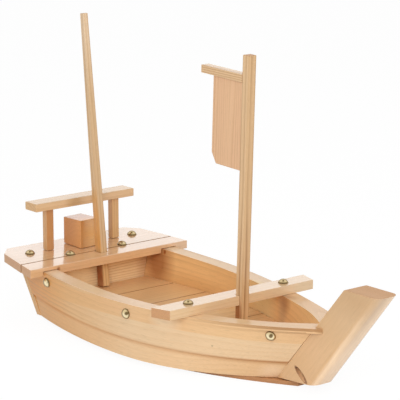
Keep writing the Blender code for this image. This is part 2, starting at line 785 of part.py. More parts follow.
def make_tacks(planks, deck_aft, transom, bulkhead, crossbeam):
    radius = TACK_DIAMETER / 2
    profile = [(0, TACK_RIM + TACK_DOME)]
    for i in range(1, TACK_DOME_STEPS + 1):
        angle = math.radians(90 * i / TACK_DOME_STEPS)
        profile.append((radius * math.sin(angle), TACK_RIM + TACK_DOME * math.cos(angle)))
    shank = TACK_SHANK / 2
    profile += [(radius, 0), (shank, 0), (shank, TACK_SHANK - TACK_LENGTH), (0, -TACK_LENGTH)]
    tack_mesh = turned_mesh("tack", profile, TACK_SEGMENTS)
    bore = shank + CLEARANCE
    hole = [(0, TACK_DOME), (bore, TACK_DOME), (bore, -TACK_LENGTH - CLEARANCE), (0, -TACK_LENGTH - CLEARANCE)]
    hole_mesh = turned_mesh("tack_hole", hole, TACK_SEGMENTS)

    def drive(name, point, direction, pierced):
        seat = Vector(point) + Vector(direction).normalized() * TACK_SEAT
        tack = add_object(name, tack_mesh.copy(), BRASS)
        aim(tack, seat, direction)
        bored = add_object(name + "_hole", hole_mesh.copy(), None)
        aim(bored, seat, direction)
        for piece in pierced:
            cut(piece, bored)

    side_tacks = {
        "stern": DECK_FRONT_X + SIDE_TACK_STERN_AHEAD,
        "mid": x_at(SIDE_TACK_MID_SHARE * OVERALL_LENGTH),
        "bow": RIM_FORE - SIDE_TACK_BOW_SETBACK,
    }
    deck_normal = (math.sin(DECK_SLOPE), 0, math.cos(DECK_SLOPE))
    for name, side in SIDES.items():
        plank = planks[name]
        x = (transom_aft_x(RIM_LEVEL) + transom_front_x(RIM_LEVEL)) / 2
        point = (x, side * (rim_half(x) - DECK_TACK_INSET), deck_top(x))
        drive("deck_tack_outer_" + name, point, deck_normal, (deck_aft, transom))
        x = (BULKHEAD_FRONT_X + BULKHEAD_AFT_X) / 2
        point = (x, side * BULKHEAD_TACK_OFFSET, deck_top(x))
        drive("deck_tack_inner_" + name, point, deck_normal, (deck_aft, bulkhead))
        x = BEAM_X
        point = (x, side * (rim_half(x) - BEAM_TACK_INSET), BEAM_TOP)
        drive("beam_tack_" + name, point, (0, 0, 1), (crossbeam, plank))
        for place, tack_x in side_tacks.items():
            z = rim_height(tack_x) - SIDE_TACK_DROP
            u = u_at(tack_x, z)
            x, half = hull_point(u, z)
            slope = hull_slope(u, z)
            up_x, up_half = hull_point(u, z + LIP_HEIGHT)
            lean = (up_half - half - slope * (up_x - x)) / LIP_HEIGHT
            normal = (-slope, side, -lean)
            drive(f"side_tack_{place}_{name}", (x, side * half, z), normal, (plank,))


make_base_plate()
side_planks, lower_strakes, deck_housings = make_sides()
add_stem_screws(make_stem(), side_planks)
transom_board = make_transom()
aft_bulkhead = make_bulkhead()
make_floor()
aft_plank, front_plank = make_deck(deck_housings)
make_stern_rail()
make_cabin()
beam = make_crossbeam()
make_front_mast(beam)
make_rear_mast(front_plank)
make_tacks(side_planks, aft_plank, transom_board, aft_bulkhead, beam)
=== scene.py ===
import math

import bpy
from mathutils import Matrix, Vector


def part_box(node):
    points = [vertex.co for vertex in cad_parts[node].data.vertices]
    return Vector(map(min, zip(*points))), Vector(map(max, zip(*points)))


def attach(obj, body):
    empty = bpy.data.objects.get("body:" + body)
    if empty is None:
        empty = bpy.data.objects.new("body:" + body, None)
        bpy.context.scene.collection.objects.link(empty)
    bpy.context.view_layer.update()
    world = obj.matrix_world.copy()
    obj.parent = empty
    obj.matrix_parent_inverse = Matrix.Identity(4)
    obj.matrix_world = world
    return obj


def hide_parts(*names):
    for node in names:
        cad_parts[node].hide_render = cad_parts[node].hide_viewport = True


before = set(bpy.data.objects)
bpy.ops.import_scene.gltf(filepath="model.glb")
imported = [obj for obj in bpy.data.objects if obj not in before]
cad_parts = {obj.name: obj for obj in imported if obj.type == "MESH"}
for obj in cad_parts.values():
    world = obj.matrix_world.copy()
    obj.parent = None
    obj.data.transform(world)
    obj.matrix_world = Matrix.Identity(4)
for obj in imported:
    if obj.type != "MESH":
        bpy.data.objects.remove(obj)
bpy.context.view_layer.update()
print("frame loaded:", len(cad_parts), "nodes")


# shader sums

class Wire:
    def __init__(self, graph, socket):
        self.graph = graph
        self.socket = socket

    def math(self, operation, *values):
        return self.graph.node("Math", {"operation": operation}, dict(enumerate(values)))

    def __add__(self, other):
        return self.math("ADD", self, other)

    def __radd__(self, other):
        return self.math("ADD", other, self)

    def __sub__(self, other):
        return self.math("SUBTRACT", self, other)

    def __rsub__(self, other):
        return self.math("SUBTRACT", other, self)

    def __mul__(self, other):
        return self.math("MULTIPLY", self, other)

    def __rmul__(self, other):
        return self.math("MULTIPLY", other, self)

    def __truediv__(self, other):
        return self.math("DIVIDE", self, other)

    def __pow__(self, other):
        return self.math("POWER", self, other)

    def __abs__(self):
        return self.math("ABSOLUTE", self)

    def below(self, other):
        return self.math("MINIMUM", self, other)

    def above(self, other):
        return self.math("MAXIMUM", self, other)

    def sign(self):
        return self.math("SIGN", self)

    def fraction(self):
        return self.math("FRACT", self)

    def clipped(self):
        return self.above(0.0).below(1.0)

    def between(self, start, end):
        # 0 at start, 1 at end and level beyond them
        return ((self - start) * (1 / (end - start))).clipped()

    def band(self, start, startBlur, end, endBlur):
        # rises from start, falls to end
        return ((self - start) / startBlur).below((end - self) / endBlur).above(0.0)

    def ramp(self, *stops):
        return self.graph.node("ValToRGB", {"stops": stops}, {0: self})


class Graph:
    def __init__(self, tree):
        self.tree = tree

    def node(self, kind, settings=None, sockets=None, out=0):
        made = self.tree.nodes.new("ShaderNode" + kind)
        for key, value in (settings or {}).items():
            if key == "stops":
                elements = made.color_ramp.elements
                while len(elements) < len(value):
                    elements.new(1.0)
                for element, (place, level) in zip(elements, value):
                    element.position = place
                    element.color = (level, level, level, 1)
            else:
                setattr(made, key, value)
        for key, value in (sockets or {}).items():
            self.plug(made.inputs[key], value)
        return Wire(self, made.outputs[out])

    def plug(self, socket, value):
        if isinstance(value, Wire):
            self.tree.links.new(value.socket, socket)
        else:
            socket.default_value = value

    def mix(self, share, first, second):
        return self.node("Mix", {"data_type": "RGBA"}, {0: share, 6: first, 7: second}, 2)

    def vector(self, operation, first, second, out=0):
        return self.node("VectorMath", {"operation": operation}, {0: first, 1: second}, out)

    def length(self, vector):
        return self.node("VectorMath", {"operation": "LENGTH"}, {0: vector}, "Value")

    def scale(self, colour, factor):
        return self.node("VectorMath", {"operation": "SCALE"}, {0: colour, 3: factor})

    def split(self, vector):
        parts = self.node("SeparateXYZ", sockets={0: vector})
        return [Wire(self, socket) for socket in parts.socket.node.outputs]

    def noise(self, parts, scales, detail=2.0):
        stretched = [part * scale for part, scale in zip(parts, scales)]
        vector = self.node("CombineXYZ", sockets=dict(enumerate(stretched)))
        return self.node("TexNoise", sockets={"Vector": vector, "Scale": 1.0, "Detail": detail})


class Finish(Graph):
    def __init__(self, name):
        self.material = bpy.data.materials.new(name)
        self.material.use_nodes = True
        super().__init__(self.material.node_tree)
        self.shader = self.tree.nodes["Principled BSDF"]

    def feed(self, **sockets):
        for key, value in sockets.items():
            self.plug(self.shader.inputs[key.replace("_", " ")], value)


# pine

pineColours = {
    "pale": ((0.780, 0.525, 0.285), (0.580, 0.330, 0.140), (0.780, 0.485, 0.275)),
    "plank": ((0.790, 0.515, 0.272), (0.600, 0.330, 0.140), (0.790, 0.480, 0.258)),
    "deck": ((0.740, 0.460, 0.240), (0.580, 0.320, 0.140), (0.740, 0.430, 0.235)),
    "warm": ((0.660, 0.400, 0.185), (0.450, 0.225, 0.085), (0.650, 0.360, 0.170)),
    "rosy": ((0.650, 0.318, 0.132), (0.500, 0.230, 0.090), (0.630, 0.295, 0.122)),
    "mast": ((0.690, 0.465, 0.255), (0.330, 0.150, 0.050), (0.690, 0.440, 0.240)),
    "sail": ((0.730, 0.455, 0.258), (0.520, 0.270, 0.120), (0.720, 0.425, 0.250)),
    "amber": ((0.680, 0.470, 0.265), (0.500, 0.280, 0.120), (0.680, 0.450, 0.240)),
    "strake": ((0.830, 0.575, 0.335), (0.620, 0.350, 0.150), (0.830, 0.540, 0.310)),
}
plankAft = (0.810, 0.425, 0.135)
plankStern = (0.770, 0.350, 0.095)
strakeAft = (0.800, 0.420, 0.140)
strakeFore = (0.780, 0.515, 0.280)
# painted shade for the inner corners where boards meet
cornerShadeRed = (0.330, 0.097, 0.023)
plankBelow = (0.800, 0.570, 0.345)
# painted warm light for the faces toward the boat's middle
insideWarmLight = (0.900, 0.550, 0.240)
endGrainColour = (0.560, 0.300, 0.150)
# painted brown shade in the crevice along the lap, aft and fore
lapShadeAft = (0.660, 0.250, 0.030)
lapShadeFore = (0.440, 0.170, 0.038)
# painted shade on and under the rim's lip, and at its tip
lipShadowBrown = (0.420, 0.215, 0.090)
# painted shade in the gaps at the deck's notches over the rims
notchShade = (0.270, 0.066, 0.010)
shadowBrown = (0.300, 0.125, 0.042)
# painted shade beside the front mast inside the bow
wellShadeGrey = (0.420, 0.290, 0.190)
grainTurns = {
    "x": (0, 0, 0),
    "y": (0, 0, -math.pi / 2),
    "z": (0, math.pi / 2, 0),
    "stem": (0, math.radians(49.4), 0),
    "frontMast": (0, math.radians(87.85), 0),
    "rearMast": (0, math.radians(96), 0),
    "yard": (0, math.radians(-2.15), 0),
}
pineDefaults = {
    "tone": "pale",
    "level": 1.0,
    "grain": "x",
    "pith": (0.012, -0.045),   # how far the heart of the tree lies from the board
    "ring": 0.0042,            # width of a year's growth
    "ringDepth": 0.55,
    "wander": 0.006,
    "uneven": 2.4,             # how much the years differ in width
    "ringDrift": None,         # stronger rings: axis, start, end, added depth
    "patch": 0.55,
    "fibre": 0.10,
    "fleck": 0.10,
    "rough": 0.42,
    "specular": 0.12,
    "coat": 0.6,
    "coatIndex": 1.5,
    "coatRough": 0.16,
    "bent": None,              # rise of the grain toward stern and bow, on bent planks
    "below": None,             # a board glued from two: rises, level and colour under the joint
    "drifts": (),              # slow changes of colour: axis, start, end, colour
    "inside": 0.0,             # warmer face toward the boat's middle, painted warm light
    "front": None,             # colour of the faces toward the bow, painted light and shade
    "upward": None,            # paler top faces, a painted sheen: start x, end x, colour
    "sawnShare": 0.75,
    "lap": None,               # painted brown shade in the crevice along the lap: width above, width under, depth aft, depth fore
    "lip": None,               # painted shade on the rim's lip face and a painted shadow line under it: from x, to x, depth
    "ends": 0.0,               # painted shade on the faces between neighbours
    "joints": (),              # dark lines across: x, half width, depth
    "pocket": None,            # slanted hole: a point on its axis, direction, radius
    "knots": (),               # small dark spots: place, size, depth
    "toneAndLightPatches": (),              # soft patches of tone and of painted light and shade: place, reach, share, colour
}
grainScales = {                # waves per metre: along the grain, across it, in from the face
    "wander": (7, 30, 30), "uneven": (2, 45, 45), "strength": (4, 60, 60), "patch": (6, 26, 26),
    "fibre": (55, 1500, 1500), "fleck": (110, 1000, 1000), "pores": (300, 900, 900),
}
woodFeel = {
    "yearShift": 9, "inwardWander": 0.6,           # rings
    "glueBlur": 0.0012, "glueWander": 0.25,        # joint of a board glued from two
    "patchCore": 2 / 7, "seamCore": 0.375,         # share of a patch or a seam at full strength
    "sawnRings": 0.5, "sawnRough": 0.16, "sawnCoat": 0.8, "poreShade": 0.25,
    "arrisShade": 0.06, "arrisRough": 0.06, "fibreRough": 0.14,
    "fibreHeight": 0.7, "ringHeight": 0.35, "fleckHeight": 0.3, "bump": 0.10, "bumpReach": 0.0004,
}
lapShadeSpan = {                    # painted shade in the crevice along the hull: start and end of each change
    "fore": (0.04, 0.15), "stern": (-0.12, -0.16167), "sternMore": 0.50, "brown": (-0.13, 0.07),
}
lipShadeBands = {                    # depths under the rim of the painted shade on the lip's face and the painted shadow line under it: top, its blur, bottom, its blur
    "face": (-0.0004, 0.0007, 0.0036, 0.0008), "line": (0.0046, 0.0004, 0.0078, 0.0016), "lineShare": 0.35,
}
hullLine = {
    "lowX": 0.0045, "rim": 0.0616, "sternRise": 0.109, "bowRise": 0.2552, "lap": 0.0246, "lapRise": 0.0803,
    "beamX": -0.0905, "beamHalf": 0.0946,
    "aftSpan": 0.1353, "aftDrop": 0.0108, "foreSpan": 0.265, "foreDrop": 0.0731, "fullness": 1.85,
}


def opaque(colour, level=1.0):
    return (*[part * level for part in colour], 1)


def heightOver(x, z, sternRise, bowRise):
    fromLow = x - hullLine["lowX"]
    aft = fromLow.below(0.0)
    fore = fromLow.above(0.0)
    return z - aft * aft * sternRise - fore * fore * bowRise


def bentGrain(rises, x, y, z):
    # grain of a side plank: along the hull, up across the board, in from the face
    up = heightOver(x, z, *rises)
    fromBeam = x - hullLine["beamX"]
    aftShare = (fromBeam * (-1 / hullLine["aftSpan"])).above(0.0)
    foreShare = (fromBeam * (1 / hullLine["foreSpan"])).above(0.0)
    fall = aftShare ** hullLine["fullness"] * hullLine["aftDrop"]
    fall = fall + foreShare ** hullLine["fullness"] * hullLine["foreDrop"]
    inward = abs(y) + fall - hullLine["beamHalf"]
    return x, up, inward


def growthRings(pine, look, parts, shift):
    # late wood of each year, and how far the rings wander along the board
    wander = (pine.noise(parts, grainScales["wander"], 3.0) - 0.5) * look["wander"]
    sideways = parts[1] - look["pith"][0] + wander
    inward = parts[2] - look["pith"][1] + wander * woodFeel["inwardWander"]
    radius = (sideways * sideways + inward * inward) ** 0.5
    uneven = pine.noise(parts, grainScales["uneven"], 1.0) * look["uneven"]
    phase = (radius / look["ring"] + uneven + shift * woodFeel["yearShift"]).fraction()
    lateWood = phase.ramp((0.0, 0.0), (0.42, 0.10), (0.80, 0.70), (0.92, 1.0), (1.0, 0.0))
    strength = pine.noise(parts, grainScales["strength"], 1.0).ramp((0.3, 0.25), (0.7, 1.0))
    return lateWood * strength, wander


def farFrom(pine, spot, middle, sizes):
    return pine.length(pine.vector("DIVIDE", pine.vector("SUBTRACT", spot, middle), sizes))


def clearWood(pine, look, axes, facing, patch, wander):
    # the wood's colour before its grain is drawn, with painted light and shade on faces by the way they turn
    x, y, z = axes
    light, _, blush = [opaque(colour, look["level"]) for colour in pineColours[look["tone"]]]
    colour = pine.mix(patch * look["patch"], light, blush)
    if look["below"]:
        rises, level, under = look["below"]
        overJoint = heightOver(x, z, *rises) - level + wander * woodFeel["glueWander"]
        colour = pine.mix((0.5 - overJoint / woodFeel["glueBlur"]).clipped(), colour, opaque(under))
    for axis, start, end, target in look["drifts"]:
        colour = pine.mix(axes[axis].between(start, end), colour, opaque(target))
    # painted warm light on the faces toward the boat's middle
    if look["inside"]:
        toMiddle = (0.0 - facing[1] * y.sign()).ramp((0.2, 0.0), (0.5, 1.0))
        colour = pine.mix(toMiddle * look["inside"], colour, opaque(insideWarmLight))
    # faces toward the bow take their own colour: painted light and shade
    if look["front"]:
        colour = pine.mix(facing[0].ramp((0.3, 0.0), (0.6, 1.0)), colour, opaque(look["front"]))
    # paler top faces: a painted sheen
    if look["upward"]:
        start, end, target = look["upward"]
        share = x.between(start, end) * facing[2].ramp((0.75, 0.0), (0.90, 1.0))
        colour = pine.mix(share, colour, opaque(target))
    return colour


def lapCrevice(pine, look, x, z, colour):
    # painted brown shade in the crevice where the plank overhangs the strake
    above, under, aft, fore = look["lap"]
    overLap = heightOver(x, z, hullLine["lapRise"], 0.0) - hullLine["lap"]
    share = x.between(*lapShadeSpan["fore"]) * (fore - aft) + aft
    share = share + x.between(*lapShadeSpan["stern"]) * lapShadeSpan["sternMore"]
    brown = pine.mix(x.between(*lapShadeSpan["brown"]), opaque(lapShadeAft), opaque(lapShadeFore))
    return pine.mix(overLap.band(-under, under, above, above) * share, colour, brown)


def paintLipShadow(pine, look, axes, facing, colour):
    # painted shade on the lip's face and a painted shadow line under it
    x, y, z = axes
    start, end, share = look["lip"]
    underRim = hullLine["rim"] - heightOver(x, z, hullLine["sternRise"], hullLine["bowRise"])
    dark = underRim.band(*lipShadeBands["face"]).below(1.0)
    dark = dark + underRim.band(*lipShadeBands["line"]).below(lipShadeBands["lineShare"])
    outward = (facing[1] * y.sign()).ramp((0.2, 0.0), (0.5, 1.0))
    return pine.mix(dark * outward * x.between(start, end) * share, colour, opaque(lipShadowBrown))


def pocketShade(pine, look, axes, facing, colour):
    x, y, z = axes
    middle, direction, radius = look["pocket"]
    mirrored = pine.node("CombineXYZ", sockets={0: x, 1: 0.0 - abs(y), 2: z})
    around = pine.vector("CROSS_PRODUCT", pine.vector("SUBTRACT", mirrored, middle), direction)
    far = pine.length(around) / (2 * radius)
    flat = abs(facing[1]).ramp((0.85, 0.0), (0.97, 1.0))
    mouth = far.ramp((0.54, 0.95), (0.64, 0.0)) * flat
    wall = far.ramp((0.52, 0.40), (0.54, 0.0)) * (1 - flat)
    return pine.mix(mouth + wall, colour, opaque(shadowBrown))


def darkPlaces(pine, look, spot, axes, facing, colour):
    # soft patches of tone and painted light, painted shade in crevices, under the rim's lip and inside holes
    x, y, z = axes
    for middle, reach, share, patchColour in look["toneAndLightPatches"]:
        patchMask = farFrom(pine, spot, middle, reach).between(1.0, woodFeel["patchCore"])
        colour = pine.mix(patchMask * share, colour, opaque(patchColour))
    if look["lap"]:
        colour = lapCrevice(pine, look, x, z, colour)
    if look["lip"]:
        colour = paintLipShadow(pine, look, axes, facing, colour)
    # painted shade on the faces between neighbours
    if look["ends"]:
        endFace = abs(facing[0]).ramp((0.30, 0.0), (0.60, 1.0))
        colour = pine.mix(endFace * look["ends"], colour, opaque(shadowBrown))
    for line, width, share in look["joints"]:
        seam = abs(x - line).between(width, width * woodFeel["seamCore"])
        colour = pine.mix(seam * share, colour, opaque(shadowBrown))
    if look["pocket"]:
        colour = pocketShade(pine, look, axes, facing, colour)
    return colour


def pineFinish(name, **changes):
    look = {**pineDefaults, **changes}
    late = opaque(pineColours[look["tone"]][1], look["level"])
    # every board starts at its own place in the grain
    shift = sum(ord(letter) * (place + 3) for place, letter in enumerate(name)) % 97 / 97
    turn = grainTurns[look["grain"]]
    pine = Finish(name)
    spot = pine.node("TexCoord", out="Object")
    normal = pine.node("TexCoord", out="Normal")
    axes = pine.split(spot)
    along, across, inward = pine.split(pine.node("Mapping", sockets={"Vector": spot, "Rotation": turn}))
    if look["bent"]:
        along, across, inward = bentGrain(look["bent"], *axes)
    parts = (along + shift, across, inward)
    lateWood, wander = growthRings(pine, look, parts, shift)
    fibre = pine.noise(parts, grainScales["fibre"], 3.0)
    fleck = pine.noise(parts, grainScales["fleck"], 1.0).ramp((0.62, 0.0), (0.74, 1.0))
    patch = pine.noise(parts, grainScales["patch"], 2.0).ramp((0.35, 0.0), (0.70, 1.0))

    facing = pine.split(normal)
    colour = clearWood(pine, look, axes, facing, patch, wander)
    ringDepth = look["ringDepth"]
    if look["ringDrift"]:
        axis, start, end, added = look["ringDrift"]
        ringDepth = axes[axis].between(start, end) * added + ringDepth
    colour = pine.mix(lateWood * ringDepth, colour, late)
    shade = 1 + (fibre - 0.5) * look["fibre"] * 2 - fleck * look["fleck"]
    for middle, size, share in look["knots"]:
        shade = shade - (1 - farFrom(pine, spot, middle, (size, size, size))).above(0.0) * share
    colour = darkPlaces(pine, look, spot, axes, facing, colour)

    # sawn ends are darker and browner, eased edges a little paler, partly wear and partly a painted highlight
    turned = pine.node("Mapping", {"vector_type": "NORMAL"}, {0: normal, "Rotation": turn})
    sawn = abs(pine.split(turned)[0]).ramp((0.52, 0.0), (0.68, 1.0)) * (0.0 if look["bent"] else 1.0)
    endGrain = pine.mix(lateWood * woodFeel["sawnRings"], opaque(endGrainColour), late)
    colour = pine.mix(sawn * look["sawnShare"], colour, endGrain)
    pores = sawn * (pine.noise(parts, grainScales["pores"], 2.0) - 0.5)
    arris = pine.node("Attribute", {"attribute_name": "arris"}, out="Fac")
    shade = shade + pores * woodFeel["poreShade"] + arris * woodFeel["arrisShade"]

    rough = look["rough"] + (fibre - 0.5) * woodFeel["fibreRough"]
    rough = rough + sawn * woodFeel["sawnRough"] + arris * woodFeel["arrisRough"]
    height = fibre * woodFeel["fibreHeight"] - lateWood * woodFeel["ringHeight"]
    height = height - fleck * woodFeel["fleckHeight"]
    bump = pine.node("Bump", sockets={"Strength": woodFeel["bump"], "Distance": woodFeel["bumpReach"],
                                      "Height": height})
    pine.feed(Base_Color=pine.scale(colour, shade), Normal=bump, Roughness=rough)
    pine.feed(Coat_Weight=(1 - sawn * woodFeel["sawnCoat"]) * look["coat"], Coat_Roughness=look["coatRough"],
              Coat_IOR=look["coatIndex"], Specular_IOR_Level=look["specular"])
    return pine.material


# metal

brassLook = {
    # golden is a painted darker reflection on the upper side; dull also paints a dark reflection where the
    # dome is seen edge on
    "bright": (0.92, 0.80, 0.53), "stained": (0.80, 0.65, 0.38), "golden": (0.58, 0.38, 0.13),
    "dull": (0.165, 0.098, 0.028), "goldenShare": 0.45, "dullShare": 0.9, "edgeShare": 0.9,
    "stainScale": (160, 160, 160), "scratchScale": (900, 2600, 1500),
    "rough": 0.07, "stainRough": 0.07, "scratchRough": 0.05, "dullRough": 0.12,
    "scratchHeight": 0.4, "bump": 0.08, "bumpReach": 0.0002,
}
steelLook = {
    "bright": (0.42, 0.40, 0.37), "stained": (0.24, 0.21, 0.18), "stainScale": (300, 300, 300),
    "rough": 0.30, "stainRough": 0.25,
}


def brassFinish(name, look):
    brass = Finish(name)
    parts = brass.split(brass.node("TexCoord", out="Object"))
    stain = brass.noise(parts, look["stainScale"], 3.0)
    scratch = brass.noise(parts, look["scratchScale"], 2.0)
    stained = stain.ramp((0.35, 0.0), (0.75, 1.0))
    colour = brass.mix(stained, opaque(look["bright"]), opaque(look["stained"]))
    # more golden on the upper side, a painted darker reflection from above
    upper = brass.split(brass.node("TexCoord", out="Normal"))[2].ramp((0.05, 0.0), (0.50, 1.0))
    colour = brass.mix(upper * look["goldenShare"], colour, opaque(look["golden"]))
    # worn bright on top, dull at the rim, and darker where it is seen edge on, a painted dark reflection
    # along the outline
    edgeOn = brass.node("LayerWeight", sockets={"Blend": 0.5}, out="Facing").ramp((0.36, 0.0), (0.54, 1.0))
    rimward = brass.node("Attribute", {"attribute_name": "rimward"}, out="Fac")
    dull = rimward.above(edgeOn * look["edgeShare"])
    colour = brass.mix(dull * look["dullShare"], colour, opaque(look["dull"]))
    rough = look["rough"] + stain * look["stainRough"] + scratch * look["scratchRough"]
    rough = rough + dull * look["dullRough"]
    bump = brass.node("Bump", sockets={"Strength": look["bump"], "Distance": look["bumpReach"],
                                       "Height": stain + scratch * look["scratchHeight"]})
    brass.feed(Base_Color=colour, Roughness=rough, Normal=bump, Metallic=1.0)
    return brass.material


def steelFinish(name, look):
    steel = Finish(name)
    parts = steel.split(steel.node("TexCoord", out="Object"))
    stain = steel.noise(parts, look["stainScale"], 3.0)
    colour = steel.mix(stain, opaque(look["bright"]), opaque(look["stained"]))
    steel.feed(Base_Color=colour, Roughness=look["rough"] + stain * look["stainRough"], Metallic=1.0)
    return steel.material


# modelling steps

meshing = {
    "nodeWeld": 0.00001, "pointWeld": 0.000005, "hair": 0.000001,   # metres
    "flatAngle": 0.3, "quadAngle": 25, "quadSkew": 60, "normalWeight": 80,
}


def deselectAll():
    if bpy.context.object and bpy.context.object.mode != "OBJECT":
        bpy.ops.object.mode_set(mode="OBJECT")
    bpy.ops.object.select_all(action="DESELECT")


def makeActive(piece):
    deselectAll()
    piece.select_set(True)
    bpy.context.view_layer.objects.active = piece


def clearSelection(mesh):
    for item in list(mesh.polygons) + list(mesh.edges) + list(mesh.vertices):
        item.select = False


def takeNode(nodeName, curved=False):
    # merged copy of a CAD node, its flat faces whole again
    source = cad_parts[nodeName]
    piece = source.copy()
    piece.data = source.data.copy()
    piece.name = nodeName + "_piece"
    piece.parent = None
    for key in list(piece.keys()):
        del piece[key]
    bpy.context.collection.objects.link(piece)
    piece.data.materials.clear()
    makeActive(piece)
    bpy.ops.object.mode_set(mode="EDIT")
    bpy.ops.mesh.select_all(action="SELECT")
    bpy.ops.mesh.customdata_custom_splitnormals_clear()
    bpy.ops.mesh.remove_doubles(threshold=meshing["nodeWeld"])
    if curved:
        bpy.ops.mesh.tris_convert_to_quads(face_threshold=math.radians(meshing["quadAngle"]),
                                           shape_threshold=math.radians(meshing["quadSkew"]))
    else:
        bpy.ops.mesh.dissolve_limited(angle_limit=math.radians(meshing["flatAngle"]))
    bpy.ops.object.mode_set(mode="OBJECT")
    return piece


def easeEdges(piece, width, where=None, sharp=30, segments=2):
    # bevel the sharp edges, or those of them that where() picks by their middle
    makeActive(piece)
    mesh = piece.data
    bpy.ops.object.mode_set(mode="EDIT")
    bpy.context.tool_settings.mesh_select_mode = (False, True, False)
    bpy.ops.mesh.select_all(action="DESELECT")
    bpy.ops.mesh.edges_select_sharp(sharpness=math.radians(sharp))
    bpy.ops.object.mode_set(mode="OBJECT")
    picked = [edge for edge in mesh.edges if edge.select]
    clearSelection(mesh)
    for edge in picked:
        start, end = [mesh.vertices[i].co for i in edge.vertices]
        edge.select = where is None or where((start + end) / 2)
    bpy.ops.object.mode_set(mode="EDIT")
    bpy.ops.mesh.bevel(offset=width, segments=segments, profile=0.5, affect="EDGES", clamp_overlap=True)
    bpy.ops.object.mode_set(mode="OBJECT")
    eased = mesh.attributes.get("arris") or mesh.attributes.new("arris", "FLOAT", "FACE")
    for face in mesh.polygons:
        if face.select:
            eased.data[face.index].value = 1.0


def smoothOut(piece, angle=40):
    makeActive(piece)
    bpy.ops.object.shade_smooth_by_angle(angle=math.radians(angle))
    weighted = piece.modifiers.new("faceNormals", "WEIGHTED_NORMAL")
    weighted.keep_sharp = True
    weighted.weight = meshing["normalWeight"]
    bpy.ops.object.modifier_apply(modifier=weighted.name)


def dress(piece, body, slot, material, *nodes):
    piece.data.materials.clear()
    piece.data.materials.append(material)
    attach(piece, body)
    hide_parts(*nodes)


def makeBoard(settings, body="hull"):
    for nodeName in settings["nodes"]:
        piece = takeNode(nodeName)
        easeEdges(piece, settings["edge"])
        smoothOut(piece)
        material = pineFinish(nodeName + "_pine", **settings["pine"])
        dress(piece, body, settings["slot"], material, nodeName)


# hull

basePlate = {
    "nodes": ["base_plate"], "slot": "pine_inner", "edge": 0.0007,
    "pine": {"tone": "rosy", "level": 0.74, "grain": "x", "pith": (0.01, -0.05), "ring": 0.005},
}
makeBoard(basePlate)

hullSides = {
    "rimEdge": 0.0008, "lapEdge": 0.0018, "strakeEdge": 0.0007,
    "rimBand": 0.0015, "lapBand": (0.0235, 0.0315),   # where the eased edges lie
    "plankPine": {
        "tone": "plank", "bent": (0.095, -0.25), "pith": (-0.030, -0.020), "ring": 0.0062, "wander": 0.0045,
        "ringDepth": 0.24, "ringDrift": (0, -0.06, -0.185, 0.80),
        "below": ((-0.215, 0.066), 0.0465, plankBelow), "inside": 1.0, "coat": 0.25,
        "drifts": ((0, -0.03, -0.22, plankAft), (0, -0.13, -0.21, plankStern)),
        "lap": (0.0022, 0.0030, 0.42, 0.95), "lip": (0.03, 0.14, 0.85),
    },
    "strakePine": {
        "tone": "strake", "bent": (0.0803, 0.0), "pith": (-0.030, -0.020), "ring": 0.0046, "wander": 0.003,
        "ringDepth": 0.24, "ringDrift": (0, -0.06, -0.185, 0.35),
        "drifts": ((0, -0.03, -0.20, strakeAft), (0, 0.04, 0.12, strakeFore)),
        "lap": (0.0030, 0.0046, 0.42, 0.95), "coat": 0.25,
        "toneAndLightPatches": (((0.1187, -0.0206, 0.0116), (0.022, 0.014, 0.014), 0.80, (0.860, 0.620, 0.400)),),
    },
    "own": {
        "starboard": {
            "upward": (0.08, 0.0, (0.895, 0.640, 0.420)),
            "knots": (((0.075, -0.0615, 0.0359), 0.0014, 0.45),),
            # painted shade at the tip of the rim's lip, against the stem
            "toneAndLightPatches": (((0.1830, -0.0150, 0.0680), (0.009, 0.006, 0.004), 0.75, lipShadowBrown),
                       ((0.1715, -0.0095, 0.0686), (0.004, 0.0035, 0.004), 0.60, lipShadowBrown),
                       # painted light where the crossbeam's shade falls on the plank
                       ((0.0222, -0.0793, 0.0520), (0.024, 0.014, 0.012), 0.90, (0.950, 0.705, 0.450)),
                       ((-0.1000, -0.0845, 0.0625), (0.045, 0.020, 0.004), 0.90, (0.800, 0.540, 0.300)),
                       # painted shade in the inner corner at the bulkhead
                       ((-0.2000, -0.0640, 0.0380), (0.042, 0.008, 0.050), 0.85, cornerShadeRed)),
        },
        "port": {
            "upward": (0.08, 0.0, (0.870, 0.615, 0.385)), "ringDepth": 0.42,
            "knots": (((-0.052, 0.093, 0.043), 0.0016, 0.40),),
            # painted shade beside the front mast
            "toneAndLightPatches": (((0.0500, 0.0530, 0.0470), (0.014, 0.012, 0.030), 0.35, wellShadeGrey),
                       # painted shade in the gap at the deck's notch over the rim
                       ((-0.1712, 0.0722, 0.0622), (0.0026, 0.003, 0.0036), 1.0, notchShade),
                       # painted shade in the inner corner at the bulkhead
                       ((-0.1800, 0.0690, 0.0500), (0.030, 0.012, 0.056), 0.76, cornerShadeRed),
                       # painted light on the inner face under the crossbeam
                       ((0.0020, 0.0660, 0.0420), (0.055, 0.012, 0.055), 0.95, (0.950, 0.680, 0.330)),
                       # painted shade in the corner under the crossbeam, by the front mast
                       ((0.0557, 0.0518, 0.0580), (0.018, 0.012, 0.018), 0.50, cornerShadeRed),
                       # darker and redder toward the floor
                       ((-0.1250, 0.0730, 0.0310), (0.085, 0.011, 0.018), 0.45, (0.620, 0.300, 0.100))),
        },
    },
}


def rimHeight(x):
    away = x - hullLine["lowX"]
    return hullLine["rim"] + away * away * (hullLine["sternRise"] if away < 0 else hullLine["bowRise"])


def onRim(middle):
    return middle.z > rimHeight(middle.x) - hullSides["rimBand"]


def onLap(middle):
    low, high = hullSides["lapBand"]
    return low < middle.z < high


